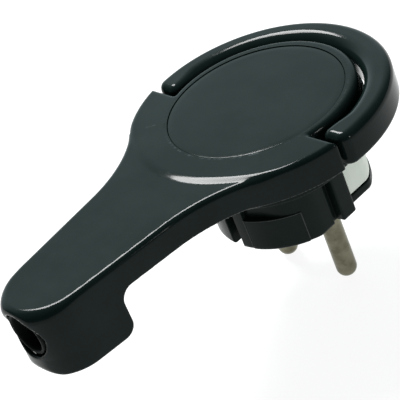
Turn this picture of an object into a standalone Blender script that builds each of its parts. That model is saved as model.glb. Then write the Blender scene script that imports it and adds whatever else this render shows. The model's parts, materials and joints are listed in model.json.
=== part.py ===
"""Flat right-angle earthed mains plug with a fold-up pull bail.

Frame: origin at the centre of the engagement face (the face that meets the socket), +Z away from the
socket, the arm along -Y, the two contact pins on the X axis pointing to -Z. Metres.
"""

import math

import bmesh
import bpy
from mathutils import Matrix, Vector

MM = 0.001
GAP = 0.3 * MM                # clearance between touching pieces

# Heights above the engagement face.
TOP_Z = 27.5 * MM             # raised round top
ARM_TOP_Z = 27.1 * MM         # top of the arm
UNDER_Z = 20.3 * MM           # underside of the round part
ARM_UNDER_Z = 20.6 * MM       # underside of the arm
BLOCK_BOTTOM_Z = 10.3 * MM    # underside of the cord block
COLLAR_Z = 12.0 * MM          # lower edge of the plug body's collar
RIM_TOP_Z = 2.3 * MM          # top of the black face rim

# Plan of the casing.
DISC_R = 29.75 * MM           # outside of the round part and of the bail
CORE_R = 22.1 * MM            # round part inside the bail
SHOULDER_Y = -5.6 * MM        # shoulders that the bail's ends face
FLARE_R = 34.0 * MM           # concave corner between arm and round part
ARM_TAPER = 0.112             # how much the arm's half width grows per unit of y
CAP_Y = -64.2 * MM            # centre of the arm's round end
CAP_R = 9.8 * MM
WALL = 1.8 * MM
ROUND_ROOF_Z = ARM_TOP_Z - WALL - 0.6 * MM  # ceiling inside the round part, below the disc's seat
SKIRT = 2.0 * MM              # side wall of the top cover
EDGE_R = 0.8 * MM             # rounding of the casing's top edges
BLOCK_BACK_Y = -54.6 * MM     # back wall of the cord block
BLOCK_CORNER_R = 3.0 * MM     # rounded corners of the block's side view
KNUCKLE_Z = 24.5 * MM         # where the end starts to lean in
NOSE_R = 2.5 * MM             # rounded lower end of the block
LEAN = 0.8 * MM               # how far the end leans in below the arm's top

# Plug body.
BODY_R = 18.25 * MM
COLLAR_R = 18.9 * MM
CAVITY_R = 13.3 * MM          # room for the carrier and the terminals
FLAT_X = 15.6 * MM            # flats on the window side of the guide ribs
FRONT_FLAT_X = 16.5 * MM      # flats on the arm's side of them
RIB_X = 17.6 * MM
RIB_HALF_Y = 2.1 * MM
RIB_SLOT_Y = -3.8 * MM        # narrow slot on the arm's side of each rib
RIB_SLOT_X = 15.2 * MM
RIB_SLOT_TOP_Z = 11.1 * MM
EARTH_SLOT_HALF = 1.5 * MM
WINDOW_START = math.radians(10.0)
WINDOW_END = math.radians(78.0)
PANEL_START = math.radians(-76.0)
PANEL_END = math.radians(-34.0)
PANEL_TOP_Z = 8.3 * MM
PANEL_PROUD = 0.2 * MM
POCKET_END = math.radians(-46.0)
POCKET_DEPTH = 1.2 * MM

# Contacts.
PIN_R = 2.4 * MM
PIN_X = 9.5 * MM
PIN_LENGTH = 19.5 * MM
PIN_ROOT_Z = 3.2 * MM         # where the pin narrows to its shank
SHANK_R = 2.0 * MM
CARRIER_TOP_Z = 10.0 * MM
HEAD_HALF = 3.1 * MM          # square terminal head on each pin
HEAD_HEIGHT = 4.6 * MM
WIRE_HOLE_R = 1.6 * MM
CLAMP_T = 0.8 * MM            # square washer under a terminal screw
CLAMP_HALF = 2.8 * MM
STRAP_T = 0.8 * MM
STRAP_HALF = 1.2 * MM
STRAP_Z = 11.0 * MM           # underside of the earth bridge
LEG_KNEE = 14.6 * MM          # where the bridge turns down, from the axis
LEG_BULGE = 1.6 * MM          # how far each leg bows outward
LEG_LENGTH = 9.6 * MM
LEG_T = 0.6 * MM

# Cover disc.
COVER_DISC_R = 20.1 * MM
COVER_DISC_Y = -0.5 * MM
COVER_DISC_T = 1.2 * MM
COVER_DISC_SINK = 0.15 * MM

# Pull bail and its hinge.
BAIL_IN_R = 23.1 * MM
BAIL_EDGE_R = 1.2 * MM
BAIL_TOP_Z = 27.4 * MM
BAIL_HALF_H = 3.7 * MM
LOBE_Y = -4.4 * MM            # where the bail's two ends stop
LOBE_R = 2.0 * MM             # rounded corners of those ends, seen from the side
HINGE_Y = -1.3 * MM
HINGE_Z = BAIL_TOP_Z - BAIL_HALF_H
HINGE_PIN_R = 1.4 * MM
HINGE_PIN_IN_X = 20.4 * MM
HINGE_PIN_OUT_X = 27.6 * MM

# Cord entry.
BORE_Z = 20.2 * MM
BORE_R = 5.4 * MM
BUSH_IN_R = 4.3 * MM
BUSH_START_Y = -72.2 * MM
BUSH_LENGTH = 5.0 * MM
CLAMP_Y = -62.0 * MM

# Screws.
SCREW_R = 1.3 * MM
SCREW_HEAD_R = 2.5 * MM
SCREW_HEAD_H = 1.4 * MM
SMALL_SCREW_R = 1.1 * MM
SMALL_HEAD_R = 1.9 * MM
BOSS_R = 3.0 * MM
FLOOR_T = 2.4 * MM            # floor of the base housing
ARM_FLOOR_T = 1.6 * MM
HOUSING_SCREW_R = 23.9 * MM   # distance from the axis
HOUSING_SCREW_ANGLES = tuple(math.radians(turn) for turn in (-30.0, -64.0, -116.0, -150.0))
FLOOR_SCREW = (0.0, -44.0 * MM)
CLAMP_SCREWS = ((-6.2 * MM, CLAMP_Y), (6.2 * MM, CLAMP_Y))
CLAMP_Z = 14.4 * MM           # underside of the cord clamp
CLAMP_BAR = (7.4 * MM, 2.0 * MM, 2.2 * MM)  # half length, half width and height of the cord clamp
SADDLE_R = 4.4 * MM           # hollow of the cord clamp
CARRIER_SCREW_R = 15.7 * MM   # distance from the axis
CARRIER_SCREW_ANGLES = (math.radians(64.0), math.radians(116.0))
FACE_SCREW_ANGLES = (math.radians(40.0), math.radians(140.0))
CARRIER_SEAT_Z = 16.0 * MM    # what the carrier screws' heads sit on
FACE_SEAT_Z = 1.3 * MM        # depth of the face screws' recesses

STEPS = 48                    # sides of a full circle
ROUND_STEPS = 2               # segments of a rounded edge


def clear_scene():
    for thing in list(bpy.data.objects):
        bpy.data.objects.remove(thing, do_unlink=True)


def material(name, colour, roughness, metallic=0.0):
    made = bpy.data.materials.new(name)
    made.use_nodes = True
    shader = made.node_tree.nodes["Principled BSDF"]
    shader.inputs["Base Color"].default_value = (*colour, 1.0)
    shader.inputs["Roughness"].default_value = roughness
    shader.inputs["Metallic"].default_value = metallic
    made.diffuse_color = (*colour, 1.0)
    return made


def arc(centre, radius, start, end, steps):
    """Points from angle start to angle end, both included, in radians."""
    turn = (end - start) / steps
    return [(centre[0] + radius * math.cos(start + turn * i),
             centre[1] + radius * math.sin(start + turn * i)) for i in range(steps + 1)]


def polar(radius, angles):
    return [(radius * math.cos(angle), radius * math.sin(angle)) for angle in angles]


def new_object(name, mesh):
    made = bpy.data.objects.new(name, mesh)
    bpy.context.scene.collection.objects.link(made)
    return made


def object_from(name, shape):
    bmesh.ops.remove_doubles(shape, verts=shape.verts, dist=1e-7)
    bmesh.ops.recalc_face_normals(shape, faces=shape.faces)
    mesh = bpy.data.meshes.new(name)
    shape.to_mesh(mesh)
    shape.free()
    return new_object(name, mesh)


def prism(name, points, low, high, edge=0.0):
    """An upright prism over a closed outline, its top edge rounded by edge."""
    shape = bmesh.new()
    base = shape.faces.new([shape.verts.new((x, y, low)) for x, y in points])
    grown = bmesh.ops.extrude_face_region(shape, geom=[base])
    top = [item for item in grown["geom"] if isinstance(item, bmesh.types.BMVert)]
    bmesh.ops.translate(shape, verts=top, vec=(0.0, 0.0, high - low))
    if edge:
        upper = set(top)
        rim = [e for e in shape.edges if e.verts[0] in upper and e.verts[1] in upper]
        bmesh.ops.bevel(shape, geom=rim, offset=edge, segments=ROUND_STEPS, profile=0.5, affect="EDGES")
    return object_from(name, shape)


def disc(name, centre, radius, low, high, steps=STEPS, edge=0.0):
    return prism(name, arc(centre, radius, 0.0, math.tau, steps)[:-1], low, high, edge)


def box(name, low, high):
    outline = [(low[0], low[1]), (high[0], low[1]), (high[0], high[1]), (low[0], high[1])]
    return prism(name, outline, low[2], high[2])


def plug_section(name, radius, half_x, front_x, low, high):
    """A round prism with flats half_x from the middle on the +Y side and front_x from it on the -Y side."""
    back, front = math.acos(half_x / radius), math.acos(front_x / radius)
    outline = arc((0.0, 0.0), radius, back, math.pi - back, 22)
    outline += [(-half_x, 0.0), (-front_x, 0.0)]
    outline += arc((0.0, 0.0), radius, math.pi + front, math.tau - front, 22)
    outline += [(front_x, 0.0), (half_x, 0.0)]
    return prism(name, outline, low, high)


def sector(name, inner, outer, start, end, low, high, steps=16):
    outline = arc((0.0, 0.0), outer, start, end, steps) + arc((0.0, 0.0), inner, end, start, steps)
    return prism(name, outline, low, high)


def rod(name, start, end, radius, steps=24):
    """A cylinder between two points."""
    start, end = Vector(start), Vector(end)
    shape = bmesh.new()
    bmesh.ops.create_cone(shape, cap_ends=True, segments=steps, radius1=radius, radius2=radius,
                          depth=(end - start).length)
    turn = (end - start).to_track_quat("Z", "Y").to_matrix().to_4x4()
    bmesh.ops.transform(shape, matrix=Matrix.Translation((start + end) / 2) @ turn, verts=shape.verts)
    return object_from(name, shape)


def turned(name, profile, steps=32):
    """A closed solid turned round Z from (radius, z) points that start and end on the axis."""
    shape = bmesh.new()
    line = [shape.verts.new((r, 0.0, z)) for r, z in profile]
    edges = [shape.edges.new(pair) for pair in zip(line, line[1:])]
    bmesh.ops.spin(shape, geom=line + edges, axis=(0.0, 0.0, 1.0), cent=(0.0, 0.0, 0.0),
                   angle=math.tau, steps=steps, use_merge=True)
    return object_from(name, shape)


def side_prism(name, points, low_x, high_x):
    """A prism along X over an outline of (y, z) points."""
    shape = bmesh.new()
    base = shape.faces.new([shape.verts.new((low_x, y, z)) for y, z in points])
    grown = bmesh.ops.extrude_face_region(shape, geom=[base])
    far = [item for item in grown["geom"] if isinstance(item, bmesh.types.BMVert)]
    bmesh.ops.translate(shape, verts=far, vec=(high_x - low_x, 0.0, 0.0))
    return object_from(name, shape)


def combine(base, tools, operation):
    """Adds, cuts or keeps with each tool in turn, then removes the tools."""
    for tool in tools:
        step = base.modifiers.new(operation, "BOOLEAN")
        step.operation = operation
        step.solver = "EXACT"
        step.object = tool
        bpy.context.view_layer.update()
        depsgraph = bpy.context.evaluated_depsgraph_get()
        mesh = bpy.data.meshes.new_from_object(base.evaluated_get(depsgraph))
        base.modifiers.remove(step)
        base.data = mesh
        bpy.data.objects.remove(tool, do_unlink=True)
    return base


def cut(base, *tools):
    return combine(base, tools, "DIFFERENCE")


def join(base, *tools):
    return combine(base, tools, "UNION")


def keep(base, *tools):
    return combine(base, tools, "INTERSECT")


def finish(thing, name, finish_material, origin=None):
    """Names the piece, gives it its material and smooth shading, and sets its origin."""
    thing.name = name
    thing.data.name = name
    thing.data.materials.clear()
    thing.data.materials.append(finish_material)
    thing.data.shade_smooth()
    thing.data.set_sharp_from_angle(angle=math.radians(30.0))
    if origin is not None:
        thing.data.transform(Matrix.Translation(-Vector(origin)))
        thing.location = origin
    return thing


def flare_geometry():
    """The centre of the concave flare and the outward normal of the arm's side, for x > 0."""
    length = math.hypot(1.0, ARM_TAPER)
    normal = Vector((1.0 / length, -ARM_TAPER / length))
    along = Vector((ARM_TAPER / length, 1.0 / length))
    # the centre lies FLARE_R off the arm's side and DISC_R + FLARE_R from the origin
    start = Vector((0.0, CAP_Y)) + (CAP_R + FLARE_R) * normal
    half = start.dot(along)
    reach = -half - math.sqrt(half * half + (DISC_R + FLARE_R) ** 2 - start.dot(start))
    return start + reach * along, normal


def arm_outline(inset=0.0, top_y=0.0):
    """The arm's plan from top_y down round its end, with its flares, shrunk by inset."""
    centre, normal = flare_geometry()
    tilt = math.atan2(normal.y, normal.x)
    reach = math.atan2(centre.y, centre.x)
    outer = FLARE_R + inset
    flare = arc(centre, outer, reach - math.pi, tilt - math.pi, 10)
    end = arc((0.0, CAP_Y), CAP_R - inset, tilt, -math.pi / 2, 12)
    right = flare + end
    left = [(-x, y) for x, y in reversed(right[:-1])]
    return [(right[0][0], top_y)] + right + left + [(-right[0][0], top_y)]


def core_outline(radius, outer, shoulder):
    """The round part: full radius below the shoulders, the core's radius above them."""
    low_angle = math.asin(shoulder / outer)
    core_angle = math.asin(shoulder / radius)
    lower = arc((0.0, 0.0), outer, -math.pi - low_angle, low_angle, 32)
    upper = arc((0.0, 0.0), radius, core_angle, math.pi - core_angle, 36)
    return lower + upper


def block_corners():
    """Rounded corners of the block's side view: (y, z) points under the arm, below the back, at the nose."""
    r, back, bottom = BLOCK_CORNER_R, BLOCK_BACK_Y, BLOCK_BOTTOM_Z
    nose_y = CAP_Y - CAP_R + LEAN + NOSE_R
    inner = arc((back + r, ARM_UNDER_Z - r), r, math.pi / 2, math.pi, 5)
    outer = arc((back - r, bottom + r), r, 0.0, -math.pi / 2, 5)
    nose = arc((nose_y, bottom + NOSE_R), NOSE_R, -math.pi / 2, -math.pi, 5)
    return inner + outer + nose


def block_side():
    """Side view of the cord block, up to the arm's top."""
    start = BLOCK_BACK_Y + BLOCK_CORNER_R
    tip = CAP_Y - CAP_R
    end = [(tip + 0.6 * LEAN, KNUCKLE_Z), (tip, ARM_TOP_Z - EDGE_R), (tip, ARM_TOP_Z)]
    return [(start, ARM_TOP_Z)] + block_corners() + end


MATERIALS = {}
HOUSING_SCREWS = polar(HOUSING_SCREW_R, HOUSING_SCREW_ANGLES)


def make_materials():
    MATERIALS["casing"] = material("gloss_black_plastic", (0.012, 0.014, 0.014), 0.22)
    MATERIALS["body"] = material("satin_black_plastic", (0.010, 0.012, 0.011), 0.38)
    MATERIALS["carrier"] = material("light_grey_plastic", (0.44, 0.49, 0.42), 0.45)
    MATERIALS["nickel"] = material("nickel_plated_brass", (0.42, 0.42, 0.33), 0.32, 1.0)
    MATERIALS["steel"] = material("zinc_plated_steel", (0.55, 0.56, 0.57), 0.35, 1.0)
    MATERIALS["rubber"] = material("black_rubber", (0.016, 0.017, 0.017), 0.7)


def drills(places, low, high, radius, steps=16):
    """Upright round cutters or posts, one at each (x, y) place."""
    return [disc("drill", place, radius, low, high, steps) for place in places]


def screw(name, place, under_head, tip, shank, head_radius, head_height, head_down=True):
    """A pan-head screw along Z with a cross slot; its head is below the shank if head_down."""
    way = -1.0 if head_down else 1.0
    crown = under_head + way * head_height
    profile = [(0.0, crown), (head_radius * 0.72, crown), (head_radius, crown - way * head_height * 0.45),
               (head_radius, under_head), (shank, under_head), (shank, tip + way * shank * 0.6),
               (shank * 0.45, tip), (0.0, tip)]
    if head_down:
        profile = profile[::-1]
    made = turned(name, profile, 12)
    bars = []
    for half_x, half_y in ((head_radius * 0.6, 0.3 * MM), (0.3 * MM, head_radius * 0.6)):
        low, high = sorted((crown - way * head_height * 0.4, crown + way * MM))
        bars.append(box("slot", (-half_x, -half_y, low), (half_x, half_y, high)))
    cut(made, *bars)
    made.data.transform(Matrix.Translation((place[0], place[1], 0.0)))
    return made


def screw_row(name, places, *sizes, head_down=True):
    """Identical screws, one object each, numbered from 1."""
    for number, place in enumerate(places, 1):
        finish(screw("screw", place, *sizes, head_down=head_down), f"{name}_{number}", MATERIALS["steel"])


def make_top_cover():
    """Upper shell: raised round top, arm and the sides of the cord block, open below."""
    round_part = prism("round", core_outline(CORE_R, DISC_R, SHOULDER_Y), UNDER_Z, TOP_Z, EDGE_R)
    arm = prism("arm", arm_outline(top_y=-12.0 * MM), 0.0, ARM_TOP_Z, EDGE_R)
    start_y = -11.0 * MM
    side = [(start_y, ARM_TOP_Z + MM), (start_y, ARM_UNDER_Z)] + block_side()[1:-1]
    side.append((CAP_Y - CAP_R - MM, ARM_TOP_Z + MM))
    keep(arm, side_prism("side", side, -DISC_R, DISC_R))
    cover = join(round_part, arm)
    roof = ARM_TOP_Z - WALL
    inside = core_outline(CORE_R - SKIRT, DISC_R - SKIRT, SHOULDER_Y - SKIRT)
    hollow = prism("hollow", inside, 0.0, ROUND_ROOF_Z)
    channel = prism("channel", arm_outline(SKIRT, -14.0 * MM), 0.0, roof)
    seat_z = TOP_Z - COVER_DISC_SINK - COVER_DISC_T - 0.1 * MM
    seat = disc("seat", (0.0, COVER_DISC_Y), COVER_DISC_R + 0.15 * MM, seat_z, TOP_Z + MM)
    bore = rod("bore", (0.0, CAP_Y, BORE_Z), (0.0, CAP_Y - 2 * CAP_R, BORE_Z), BORE_R, 32)
    cut(cover, hollow, channel, seat, bore)
    foot = UNDER_Z + FLOOR_T + GAP
    posts = drills(HOUSING_SCREWS + [FLOOR_SCREW], foot, roof + 0.3 * MM, BOSS_R)
    posts += drills(CLAMP_SCREWS, CLAMP_Z + 2.6 * MM, roof + 0.3 * MM, 2.2 * MM)
    join(cover, *posts)
    pilots = drills(HOUSING_SCREWS + [FLOOR_SCREW], UNDER_Z, ROUND_ROOF_Z, SCREW_R + GAP)
    pilots += drills(CLAMP_SCREWS, UNDER_Z - 6.0 * MM, ROUND_ROOF_Z - MM, SMALL_SCREW_R + GAP)
    pivots = [rod("pivot", (side * (HINGE_PIN_IN_X - GAP), HINGE_Y, HINGE_Z),
                  (side * DISC_R, HINGE_Y, HINGE_Z), HINGE_PIN_R + GAP) for side in (-1, 1)]
    cut(cover, *pilots, *pivots)
    return finish(cover, "top_cover", MATERIALS["casing"])


def make_cover_disc():
    top = TOP_Z - COVER_DISC_SINK
    low = top - COVER_DISC_T + 0.2 * MM
    plate = disc("plate", (0.0, COVER_DISC_Y), COVER_DISC_R - 0.15 * MM, low, top, edge=0.3 * MM)
    return finish(plate, "cover_disc", MATERIALS["casing"])


def make_pull_bail():
    """Crescent bail whose two ends stop short of the shoulders; its origin is on the hinge axis."""
    low = HINGE_Z - BAIL_HALF_H
    reach = LOBE_Y - MM
    outer_angle = math.asin(reach / DISC_R)
    inner_angle = math.asin(reach / BAIL_IN_R)
    outline = arc((0.0, 0.0), DISC_R, outer_angle, math.pi - outer_angle, 36)
    outline += arc((0.0, 0.0), BAIL_IN_R, math.pi - inner_angle, inner_angle, 32)
    ring = prism("ring", outline, low, BAIL_TOP_Z, BAIL_EDGE_R)
    far = DISC_R + MM
    corner_y = LOBE_Y + LOBE_R
    side = arc((corner_y, BAIL_TOP_Z - LOBE_R), LOBE_R, math.pi / 2, math.pi, 5)
    side += arc((corner_y, low + LOBE_R), LOBE_R, math.pi, 3 * math.pi / 2, 5)
    keep(ring, side_prism("side", side + [(far, low), (far, BAIL_TOP_Z)], -far, far))
    holes = [rod("hole", (way * (BAIL_IN_R - 2 * MM), HINGE_Y, HINGE_Z),
                 (way * (HINGE_PIN_OUT_X + GAP), HINGE_Y, HINGE_Z), HINGE_PIN_R + GAP) for way in (-1, 1)]
    cut(ring, *holes)
    return finish(ring, "pull_bail", MATERIALS["casing"], (0.0, HINGE_Y, HINGE_Z))


def make_hinge_pins():
    for name, way in (("hinge_pin_left", -1), ("hinge_pin_right", 1)):
        pin = rod(name, (way * HINGE_PIN_IN_X, HINGE_Y, HINGE_Z), (way * HINGE_PIN_OUT_X, HINGE_Y, HINGE_Z),
                  HINGE_PIN_R, 16)
        finish(pin, name, MATERIALS["steel"])


def both_windows(inner, outer, low, high, margin=0.0):
    """The two windows on the +Y side of the plug body, as sectors shrunk by margin at each end."""
    start, end = WINDOW_START + margin, WINDOW_END - margin
    spans = ((start, end), (math.pi - end, math.pi - start))
    return [sector("window", inner, outer, first, last, low, high) for first, last in spans]


def both_fillings(radius, half_x, low, high):
    """What fits in the two windows: sectors with the plug body's flats."""
    margin = math.radians(1.2)
    return [keep(filling, plug_section("section", radius, half_x, half_x, low - MM, high + MM))
            for filling in both_windows(CAVITY_R - 2 * MM, 2 * radius, low, high, margin)]


def make_base_housing():
    """Lower shell: floor of the round part, collar, plug body with ribs, recesses and slots."""
    inset = SKIRT + GAP
    plate = prism("plate", core_outline(CORE_R - inset, DISC_R - inset, SHOULDER_Y - inset),
                  UNDER_Z, UNDER_Z + FLOOR_T)
    collar = disc("collar", (0.0, 0.0), COLLAR_R, COLLAR_Z, UNDER_Z + MM)
    body = plug_section("body", BODY_R, FLAT_X, FRONT_FLAT_X, 0.0, COLLAR_Z + MM)
    far = 2 * BODY_R
    ribs = [box("rib", *sorted_corners((way * (FLAT_X - MM), -RIB_HALF_Y, 0.0),
                                       (way * RIB_X, RIB_HALF_Y, COLLAR_Z + 0.5 * MM))) for way in (-1, 1)]
    panel = sector("panel", BODY_R - MM, BODY_R + PANEL_PROUD, PANEL_START, PANEL_END, 0.0, PANEL_TOP_Z)
    housing = join(plate, collar, body, *ribs, panel)
    pocket = sector("pocket", BODY_R - POCKET_DEPTH, far, PANEL_START, POCKET_END, PANEL_TOP_Z, COLLAR_Z)
    cavity = disc("cavity", (0.0, 0.0), CAVITY_R, -MM, UNDER_Z + FLOOR_T + MM)
    slots = [box("slot", *sorted_corners((way * RIB_SLOT_X, RIB_SLOT_Y, -MM),
                                         (way * far, -RIB_HALF_Y, RIB_SLOT_TOP_Z))) for way in (-1, 1)]
    earth = [box("earth", *sorted_corners((-EARTH_SLOT_HALF, way * (CAVITY_R - MM), -MM),
                                          (EARTH_SLOT_HALF, way * far, COLLAR_Z))) for way in (-1, 1)]
    cut(housing, pocket, cavity, *slots, *earth, *both_windows(CAVITY_R - MM, far, -MM, COLLAR_Z))
    cut(housing, *drills(HOUSING_SCREWS, 0.0, TOP_Z, SCREW_R + GAP),
        *drills(HOUSING_SCREWS, 0.0, UNDER_Z + SCREW_HEAD_H, SCREW_HEAD_R + GAP))
    places = polar(CARRIER_SCREW_R, CARRIER_SCREW_ANGLES)
    cut(housing, *drills(places, 0.0, TOP_Z, SMALL_SCREW_R + GAP),
        *drills(places, CARRIER_SEAT_Z, TOP_Z, SMALL_HEAD_R + GAP))
    return finish(housing, "base_housing", MATERIALS["body"])


def sorted_corners(first, second):
    """Lowest and highest corners of the box between two opposite corners."""
    pairs = list(zip(first, second))
    return [tuple(min(pair) for pair in pairs), tuple(max(pair) for pair in pairs)]


def make_contact_carrier():
    """Light grey insert that holds the pins and fills the windows of the plug body."""
    low = RIM_TOP_Z + GAP
    core = disc("core", (0.0, 0.0), CAVITY_R - GAP, low, CARRIER_TOP_Z)
    join(core, *both_fillings(BODY_R - 0.2 * MM, FLAT_X - 0.2 * MM, low, COLLAR_Z - GAP))
    cut(core, disc("room", (0.0, 0.0), CAVITY_R + 0.4 * MM, CARRIER_TOP_Z, TOP_Z))
    pins = [(-PIN_X, 0.0), (PIN_X, 0.0)]
    cut(core, *drills(pins, 0.0, PIN_ROOT_Z + GAP, PIN_R + GAP), *drills(pins, 0.0, TOP_Z, SHANK_R + GAP))
    small = polar(CARRIER_SCREW_R, CARRIER_SCREW_ANGLES)
    face = polar(CARRIER_SCREW_R, FACE_SCREW_ANGLES)
    cut(core, *drills(small, 6.4 * MM, TOP_Z, SMALL_SCREW_R + GAP),
        *drills(face, 0.0, 7.4 * MM, SMALL_SCREW_R + GAP),
        *drills([(0.0, 0.0)], 4.4 * MM, TOP_Z, SCREW_R + GAP))
    return finish(core, "contact_carrier", MATERIALS["carrier"])


def make_face_plate():
    """Black face that meets the socket, with the rim below the windows."""
    plate = disc("plate", (0.0, 0.0), CAVITY_R - GAP, 0.0, RIM_TOP_Z)
    join(plate, *both_fillings(BODY_R, FLAT_X, 0.0, RIM_TOP_Z))
    face = polar(CARRIER_SCREW_R, FACE_SCREW_ANGLES)
    cut(plate, *drills([(-PIN_X, 0.0), (PIN_X, 0.0)], -MM, TOP_Z, PIN_R + GAP),
        *drills(face, -MM, TOP_Z, SMALL_SCREW_R + GAP), *drills(face, -MM, FACE_SEAT_Z, SMALL_HEAD_R + GAP))
    return finish(plate, "face_plate", MATERIALS["body"])


def make_contact_pins():
    """Round pins with rounded tips, a shank through the carrier and a drilled square head."""
    tip = [(PIN_R * math.sin(turn), -PIN_LENGTH + PIN_R * (1.0 - math.cos(turn)))
           for turn in (math.pi / 2 * i / 6 for i in range(7))]
    head_z = CARRIER_TOP_Z + GAP
    end_z = head_z + 0.5 * MM
    profile = tip + [(PIN_R, PIN_ROOT_Z), (SHANK_R, PIN_ROOT_Z), (SHANK_R, end_z), (0.0, end_z)]
    for name, way in (("contact_pin_left", -1), ("contact_pin_right", 1)):
        pin = turned(name, profile[::-1], 24)
        head = box("head", (-HEAD_HALF, -HEAD_HALF, head_z), (HEAD_HALF, HEAD_HALF, head_z + HEAD_HEIGHT))
        join(pin, head)
        hole_z = head_z + 2.2 * MM
        wire = rod("wire", (0.0, -HEAD_HALF - MM, hole_z), (0.0, HEAD_HALF + MM, hole_z), WIRE_HOLE_R, 20)
        cut(pin, wire, disc("thread", (0.0, 0.0), SCREW_R + GAP, hole_z, TOP_Z, 20))
        pin.data.transform(Matrix.Translation((way * PIN_X, 0.0, 0.0)))
        finish(pin, name, MATERIALS["nickel"])


def make_terminals():
    """A square washer and a screw on each pin's head."""
    washer_z = CARRIER_TOP_Z + HEAD_HEIGHT + 2 * GAP
    head_z = washer_z + CLAMP_T + GAP
    for side, way in (("left", -1), ("right", 1)):
        place = (way * PIN_X, 0.0)
        washer = box("washer", (place[0] - CLAMP_HALF, -CLAMP_HALF, washer_z),
                     (place[0] + CLAMP_HALF, CLAMP_HALF, washer_z + CLAMP_T))
        cut(washer, *drills([place], 0.0, TOP_Z, SCREW_R + GAP))
        finish(washer, "terminal_clamp_" + side, MATERIALS["steel"])
        made = screw("screw", place, head_z, head_z - 3.4 * MM, SCREW_R, SCREW_HEAD_R, SCREW_HEAD_H,
                     head_down=False)
        finish(made, "terminal_screw_" + side, MATERIALS["steel"])


def earth_side(offset):
    """One side's half of the earth bridge's outline, seen from the side, from the strap to the leg's tip."""
    points = [(LEG_KNEE - offset, STRAP_Z + STRAP_T - offset)]
    for i in range(9):
        part = i / 8
        bulge = LEG_BULGE * math.sin(math.pi * min(1.0, part * 1.12)) ** 0.8
        points.append((LEG_KNEE + bulge - offset, STRAP_Z - part * LEG_LENGTH))
    return points


def make_earth_bridge():
    """Spring strap across the body with a bowed contact leg down each earth slot."""
    outer = earth_side(0.0)
    inner = earth_side(LEG_T)[1:]
    inner[0] = (inner[0][0], STRAP_Z)
    half = outer + inner[::-1]
    other = [(-y, z) for y, z in half[::-1]]
    strap = side_prism("strap", half + other, -STRAP_HALF, STRAP_HALF)
    pad = box("pad", (-CLAMP_HALF, -CLAMP_HALF, STRAP_Z), (CLAMP_HALF, CLAMP_HALF, STRAP_Z + STRAP_T))
    join(strap, pad)
    cut(strap, *drills([(0.0, 0.0)], 0.0, TOP_Z, SCREW_R + GAP))
    return finish(strap, "earth_bridge", MATERIALS["nickel"])


def make_earth_terminal():
    washer_z = STRAP_Z + STRAP_T + GAP
    washer = box("washer", (-CLAMP_HALF, -CLAMP_HALF, washer_z), (CLAMP_HALF, CLAMP_HALF, washer_z + CLAMP_T))
    cut(washer, *drills([(0.0, 0.0)], 0.0, TOP_Z, SCREW_R + GAP))
    finish(washer, "earth_clamp", MATERIALS["steel"])
    head_z = washer_z + CLAMP_T + GAP
    made = screw("screw", (0.0, 0.0), head_z, 4.8 * MM, SCREW_R, SCREW_HEAD_R, SCREW_HEAD_H, head_down=False)
    finish(made, "earth_screw", MATERIALS["steel"])


def make_arm_floor():
    """Underside of the arm, back wall and floor of the cord block, in one bent plate."""
    back, bottom, t, r = BLOCK_BACK_Y, BLOCK_BOTTOM_Z, ARM_FLOOR_T, BLOCK_CORNER_R
    start_y = -22.0 * MM
    outer = [(start_y, ARM_UNDER_Z)] + block_corners()
    nose_y = outer[-1][0] + t
    inner = [(nose_y, bottom + NOSE_R), (nose_y + NOSE_R - t, bottom + t), (back - r, bottom + t),
             (back - t, bottom + r), (back - t, ARM_UNDER_Z - r + t), (back - t + 0.3 * r, ARM_UNDER_Z + t),
             (start_y, ARM_UNDER_Z + t)]
    floor = side_prism("floor", outer + inner, -2 * CAP_R, 2 * CAP_R)
    boss = disc("boss", FLOOR_SCREW, SCREW_HEAD_R + 1.2 * MM, ARM_UNDER_Z, UNDER_Z + FLOOR_T, 24)
    join(floor, boss)
    keep(floor, prism("column", arm_outline(SKIRT + GAP, -16.0 * MM), 0.0, TOP_Z))
    cut(floor, disc("round", (0.0, 0.0), DISC_R - SKIRT, 0.0, TOP_Z),
        *drills([FLOOR_SCREW], 0.0, TOP_Z, SCREW_R + GAP),
        *drills([FLOOR_SCREW], 0.0, UNDER_Z + SCREW_HEAD_H, SCREW_HEAD_R + GAP))
    return finish(floor, "arm_floor", MATERIALS["casing"])


def make_entry_bush():
    start = (0.0, BUSH_START_Y, BORE_Z)
    tube = rod("tube", start, (0.0, BUSH_START_Y + BUSH_LENGTH, BORE_Z), BORE_R - GAP, 32)
    cut(tube, rod("inside", (0.0, BUSH_START_Y - MM, BORE_Z), (0.0, BUSH_START_Y + BUSH_LENGTH + MM, BORE_Z),
                  BUSH_IN_R, 32))
    return finish(tube, "entry_bush", MATERIALS["rubber"])


def make_cord_clamp():
    """Bar with a hollow for the cord, drawn up by two screws."""
    half_x, half_y, height = CLAMP_BAR
    bar = box("bar", (-half_x, CLAMP_Y - half_y, CLAMP_Z), (half_x, CLAMP_Y + half_y, CLAMP_Z + height))
    saddle = rod("saddle", (0.0, CLAMP_Y - half_x, BORE_Z), (0.0, CLAMP_Y + half_x, BORE_Z), SADDLE_R, 32)
    cut(bar, saddle, *drills(CLAMP_SCREWS, 0.0, TOP_Z, SMALL_SCREW_R + GAP))
    return finish(bar, "cord_clamp", MATERIALS["steel"])


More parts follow.
